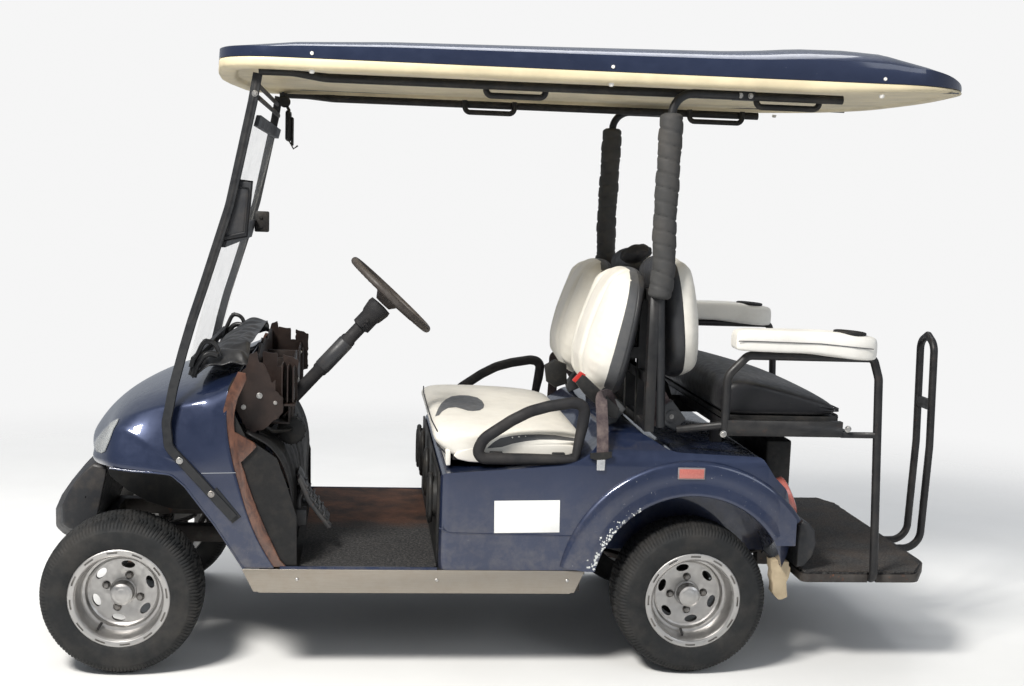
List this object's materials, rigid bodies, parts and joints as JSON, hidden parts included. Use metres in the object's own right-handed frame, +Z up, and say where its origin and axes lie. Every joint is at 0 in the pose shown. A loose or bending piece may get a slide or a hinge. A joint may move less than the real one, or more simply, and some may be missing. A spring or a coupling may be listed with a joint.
{
  "type": "golf cart",
  "caption": "Electric golf cart with a canopy, split windshield, front seat on a tilting lid, rear-facing flip bench with footplate and grab bar, and steered front wheels.",
  "frame": {"origin": "on the ground at the middle of the cart's bounding box", "axes": "-X is forwards, -Y is the cart's left side, +Z is up"},
  "size_m": [2.8656, 1.2, 1.8584],
  "materials": {
    "tyre": "matt, worn",
    "alloy": "bright machined face, brake dust in the corners",
    "axle_steel": "dusty black with rust",
    "frame_black": "satin black powder coat, dusty",
    "motor_grey": "satin",
    "battery_case": "matt",
    "floor_black": "matt, dusty",
    "sill_silver": "brushed, scuffed",
    "body_navy": "metallic navy with clear coat, chipped at the arches",
    "lamp_lens": "clear, slightly hazed",
    "dash_black": "grained",
    "dash_brown": "grained, dusty",
    "wood_trim": "burl-pattern film with clear coat",
    "pedal_black": "worn to metal at the edges",
    "column_grey": "satin",
    "wheel_grip": "woven grip cover, worn",
    "clear_sheet": "clear acrylic, scratched",
    "edge_rubber": "matt",
    "trim_cream": "cream, dusty",
    "foam_grey": "wrapped tape, matt",
    "lamp_red": "faceted reflector",
    "bumper_black": "textured",
    "vinyl_cream": "vinyl with sewn seams, creased",
    "vinyl_grey": "grained vinyl",
    "vinyl_black": "grained vinyl",
    "vinyl_white": "vinyl, scuffed",
    "foam_black": "skinned foam",
    "deck_black": "moulded, dusty",
    "mat_rubber": "ribbed, rust-brown dirt",
    "board_black": "plain"
  },
  "bodies": {
    "chassis": {"front_axle": "axle_steel", "leaf_springs": "axle_steel", "rear_axle": "axle_steel", "drive_motor": "motor_grey", "frame": "frame_black", "tie_rod": "axle_steel", "steering_rack": "axle_steel", "battery_pack": "battery_case", "floor_pan": "floor_black", "rocker_trims": "sill_silver", "front_cowl": "body_navy", "headlights": "lamp_lens", "dash_top": "dash_black", "dash_panel": "dash_brown", "footwell_wall": "floor_black", "dash_trims": "wood_trim", "pedals": "pedal_black", "steering_column": "column_grey", "windshield": "clear_sheet", "windshield_bars": "edge_rubber", "roof_skin": "body_navy", "roof_liner": "trim_cream", "roof_rails": "frame_black", "canopy_frame": "frame_black", "strut_foam": "foam_grey", "seat_pod": "body_navy", "kick_panel": "dash_black", "rear_lamps": "lamp_red", "bumpers": "bumper_black", "hip_restraint_left": "foam_black", "hip_restraint_right": "foam_black", "seat_back_pads": "vinyl_cream", "seat_back_shells": "vinyl_grey", "seat_frame": "frame_black", "bench_side_left": "frame_black", "bench_side_right": "frame_black", "bench_base": "frame_black", "armrests": "vinyl_white", "footplate": "deck_black", "floor_mats": "mat_rubber", "grab_bar": "frame_black", "belt_reels": "dash_black"},
    "knuckle_left": {"knuckle_left": "axle_steel"},
    "knuckle_right": {"knuckle_right": "axle_steel"},
    "wheel_front_left": {"tyre_front_left": "tyre", "rim_front_left": "alloy"},
    "wheel_front_right": {"tyre_front_right": "tyre", "rim_front_right": "alloy"},
    "wheel_rear_left": {"tyre_rear_left": "tyre", "rim_rear_left": "alloy"},
    "wheel_rear_right": {"tyre_rear_right": "tyre", "rim_rear_right": "alloy"},
    "hand_wheel": {"steering_wheel": "wheel_grip"},
    "lid": {"seat_lid": "board_black", "front_cushion": "vinyl_cream"},
    "flip_seat": {"bench_board": "board_black", "bench_cushion": "vinyl_black"}
  },
  "joints": [
    {"name": "steer_left", "type": "hinge", "parent": "chassis", "child": "knuckle_left", "pos_m": [-1.16085, -0.372, 0.2295], "axis": [0, 0, 1], "range_deg": [-30, 30]},
    {"name": "steer_right", "type": "hinge", "parent": "chassis", "child": "knuckle_right", "pos_m": [-1.16085, 0.372, 0.2295], "axis": [0, 0, 1], "range_deg": [-30, 30]},
    {"name": "hand_wheel_turn", "type": "hinge", "parent": "chassis", "child": "hand_wheel", "pos_m": [-0.41085, -0.28, 1.085], "axis": [0.6715, 0, 0.741], "range_deg": [-300, 300]},
    {"name": "wheel_front_left_spin", "type": "hinge", "parent": "knuckle_left", "child": "wheel_front_left", "pos_m": [-1.16085, -0.4725, 0.2295], "axis": [0, 1, 0], "continuous": true},
    {"name": "wheel_front_right_spin", "type": "hinge", "parent": "knuckle_right", "child": "wheel_front_right", "pos_m": [-1.16085, 0.4725, 0.2295], "axis": [0, 1, 0], "continuous": true},
    {"name": "wheel_rear_left_spin", "type": "hinge", "parent": "chassis", "child": "wheel_rear_left", "pos_m": [0.50915, -0.4725, 0.2295], "axis": [0, 1, 0], "continuous": true},
    {"name": "wheel_rear_right_spin", "type": "hinge", "parent": "chassis", "child": "wheel_rear_right", "pos_m": [0.50915, 0.4725, 0.2295], "axis": [0, 1, 0], "continuous": true},
    {"name": "lid_tilt", "type": "hinge", "parent": "chassis", "child": "lid", "pos_m": [-0.22585, 0, 0.626], "axis": [0, -1, 0], "range_deg": [0, 45]},
    {"name": "bench_flip", "type": "hinge", "parent": "chassis", "child": "flip_seat", "pos_m": [0.95915, 0, 0.77], "axis": [0, 1, 0], "range_deg": [0, 180]}
  ],
  "couplings": [
    {"joint": "steer_right", "follows": "steer_left", "ratio": 1},
    {"joint": "hand_wheel_turn", "follows": "steer_left", "ratio": 10}
  ]
}
